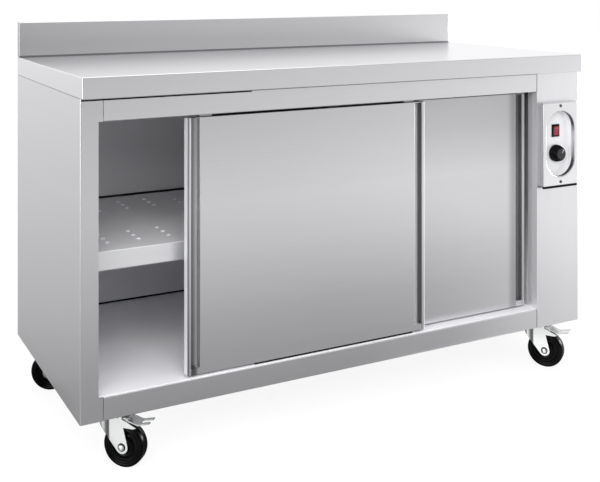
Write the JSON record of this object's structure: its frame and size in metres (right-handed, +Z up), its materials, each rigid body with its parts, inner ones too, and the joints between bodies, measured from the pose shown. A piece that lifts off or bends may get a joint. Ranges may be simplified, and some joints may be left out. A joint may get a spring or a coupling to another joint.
{
  "type": "heated mobile cabinet",
  "caption": "Stainless heated cabinet on swivel casters: worktop with rear upstand, sliding doors hung on tracks, perforated shelf, heater column with dished control panel",
  "frame": {"origin": "on the floor, under the centre of the worktop's outline", "axes": "+X along the worktop to the right as seen from the front, +Y to the back, +Z up"},
  "size_m": [1.4, 0.6, 0.952],
  "materials": {
    "brushed_steel": "fine brushed stainless steel",
    "inner_steel": "dull stainless steel",
    "galvanised_steel": "galvanised sheet",
    "zinc_plated": "bright zinc plate",
    "brake_steel": "bright zinc plate",
    "tread_rubber": "matt black rubber",
    "mineral_wool": "mineral wool slab",
    "white_nylon": "natural nylon",
    "black_plastic": "satin black plastic",
    "red_lens": "translucent red lens",
    "motor_steel": "grey enamel",
    "element_sheath": "heat-darkened steel tube",
    "terminal_plastic": "moulded terminal strip"
  },
  "bodies": {
    "cabinet": {"back_liner": "inner_steel", "back_outer": "brushed_steel", "base_pan": "inner_steel", "bezel_screws": "zinc_plated", "bottom_rail": "brushed_steel", "cable_gland": "black_plastic", "caster_backing_plates": "galvanised_steel", "caster_bolts": "zinc_plated", "caster_plates": "zinc_plated", "ceiling_liner": "inner_steel", "column_casing": "brushed_steel", "control_bezel": "brushed_steel", "door_guide": "white_nylon", "door_tracks": "galvanised_steel", "fan_housing": "galvanised_steel", "fan_motor": "motor_steel", "floor_deck": "brushed_steel", "heating_element": "element_sheath", "left_side_liner": "inner_steel", "left_side_outer": "brushed_steel", "partition": "inner_steel", "service_cover": "inner_steel", "shelf": "brushed_steel", "shelf_rails": "inner_steel", "stiffening_channels": "galvanised_steel", "switch_housing": "black_plastic", "terminal_block": "terminal_plastic", "thermostat_body": "black_plastic", "top_rail": "brushed_steel", "wall_insulation": "mineral_wool", "worktop": "brushed_steel"},
    "left_door": {"left_door_skin": "brushed_steel", "left_door_back": "inner_steel", "left_door_core": "mineral_wool", "left_door_hangers": "galvanised_steel"},
    "left_door_left_roller": {"left_door_left_roller": "white_nylon"},
    "left_door_right_roller": {"left_door_right_roller": "white_nylon"},
    "right_door": {"right_door_skin": "brushed_steel", "right_door_back": "inner_steel", "right_door_core": "mineral_wool", "right_door_hangers": "galvanised_steel"},
    "right_door_left_roller": {"right_door_left_roller": "white_nylon"},
    "right_door_right_roller": {"right_door_right_roller": "white_nylon"},
    "front_left_caster": {"front_left_fork": "zinc_plated", "front_left_axle": "zinc_plated"},
    "front_left_wheel": {"front_left_wheel": "tread_rubber"},
    "front_left_brake_pedal": {"front_left_brake_pedal": "brake_steel"},
    "front_right_caster": {"front_right_fork": "zinc_plated", "front_right_axle": "zinc_plated"},
    "front_right_wheel": {"front_right_wheel": "tread_rubber"},
    "front_right_brake_pedal": {"front_right_brake_pedal": "brake_steel"},
    "rear_left_caster": {"rear_left_fork": "zinc_plated", "rear_left_axle": "zinc_plated"},
    "rear_left_wheel": {"rear_left_wheel": "tread_rubber"},
    "rear_right_caster": {"rear_right_fork": "zinc_plated", "rear_right_axle": "zinc_plated"},
    "rear_right_wheel": {"rear_right_wheel": "tread_rubber"},
    "thermostat_knob": {"thermostat_knob": "black_plastic"},
    "switch_rocker": {"switch_rocker": "red_lens"},
    "fan_rotor": {"fan_impeller": "motor_steel"}
  },
  "joints": [
    {"name": "left_door_slide", "type": "slide", "parent": "cabinet", "child": "left_door", "axis": [1, 0, 0], "range_m": [-0.203, 0.363]},
    {"name": "left_door_left_roller_turn", "type": "hinge", "parent": "left_door", "child": "left_door_left_roller", "pos_m": [-0.4105, -0.2667, 0.7943], "axis": [0, 1, 0], "continuous": true},
    {"name": "left_door_right_roller_turn", "type": "hinge", "parent": "left_door", "child": "left_door_right_roller", "pos_m": [0.1425, -0.2667, 0.7943], "axis": [0, 1, 0], "continuous": true},
    {"name": "right_door_slide", "type": "slide", "parent": "cabinet", "child": "right_door", "axis": [1, 0, 0], "range_m": [-0.552, 0.014]},
    {"name": "right_door_left_roller_turn", "type": "hinge", "parent": "right_door", "child": "right_door_left_roller", "pos_m": [-0.0615, -0.2417, 0.7943], "axis": [0, 1, 0], "continuous": true},
    {"name": "right_door_right_roller_turn", "type": "hinge", "parent": "right_door", "child": "right_door_right_roller", "pos_m": [0.4915, -0.2417, 0.7943], "axis": [0, 1, 0], "continuous": true},
    {"name": "front_left_swivel", "type": "hinge", "parent": "cabinet", "child": "front_left_caster", "pos_m": [-0.604, -0.212, 0.1195], "axis": [0, 0, 1], "continuous": true},
    {"name": "front_left_roll", "type": "hinge", "parent": "front_left_caster", "child": "front_left_wheel", "pos_m": [-0.58279, -0.23321, 0.0475], "axis": [0.7071, 0.7071, 0], "continuous": true},
    {"name": "front_left_brake", "type": "hinge", "parent": "front_left_caster", "child": "front_left_brake_pedal", "pos_m": [-0.58986, -0.22614, 0.1105], "axis": [0.7071, 0.7071, 0], "range_deg": [0, 9]},
    {"name": "front_right_swivel", "type": "hinge", "parent": "cabinet", "child": "front_right_caster", "pos_m": [0.6112, -0.212, 0.1195], "axis": [0, 0, 1], "continuous": true},
    {"name": "front_right_roll", "type": "hinge", "parent": "front_right_caster", "child": "front_right_wheel", "pos_m": [0.62798, -0.23687, 0.0475], "axis": [0.829, 0.5592, 0], "continuous": true},
    {"name": "front_right_brake", "type": "hinge", "parent": "front_right_caster", "child": "front_right_brake_pedal", "pos_m": [0.62238, -0.22858, 0.1105], "axis": [0.829, 0.5592, 0], "range_deg": [0, 9]},
    {"name": "rear_left_swivel", "type": "hinge", "parent": "cabinet", "child": "rear_left_caster", "pos_m": [-0.604, 0.22, 0.1195], "axis": [0, 0, 1], "continuous": true},
    {"name": "rear_left_roll", "type": "hinge", "parent": "rear_left_caster", "child": "rear_left_wheel", "pos_m": [-0.62998, 0.235, 0.0475], "axis": [-0.5, -0.866, 0], "continuous": true},
    {"name": "rear_right_swivel", "type": "hinge", "parent": "cabinet", "child": "rear_right_caster", "pos_m": [0.6112, 0.22, 0.1195], "axis": [0, 0, 1], "continuous": true},
    {"name": "rear_right_roll", "type": "hinge", "parent": "rear_right_caster", "child": "rear_right_wheel", "pos_m": [0.58301, 0.23026, 0.0475], "axis": [-0.342, -0.9397, 0], "continuous": true},
    {"name": "thermostat_turn", "type": "hinge", "parent": "cabinet", "child": "thermostat_knob", "pos_m": [0.623, -0.277, 0.593], "axis": [0, 1, 0], "range_deg": [-45, 225]},
    {"name": "switch_rock", "type": "hinge", "parent": "cabinet", "child": "switch_rocker", "pos_m": [0.623, -0.27775, 0.654], "axis": [1, 0, 0], "range_deg": [-14, 0]},
    {"name": "fan_spin", "type": "hinge", "parent": "cabinet", "child": "fan_rotor", "pos_m": [0.6368, 0.03, 0.31], "axis": [1, 0, 0], "continuous": true}
  ],
  "couplings": [
    {"joint": "left_door_left_roller_turn", "follows": "left_door_slide", "rad_per_m": 102.04},
    {"joint": "left_door_right_roller_turn", "follows": "left_door_slide", "rad_per_m": 102.04},
    {"joint": "right_door_left_roller_turn", "follows": "right_door_slide", "rad_per_m": 102.04},
    {"joint": "right_door_right_roller_turn", "follows": "right_door_slide", "rad_per_m": 102.04}
  ]
}
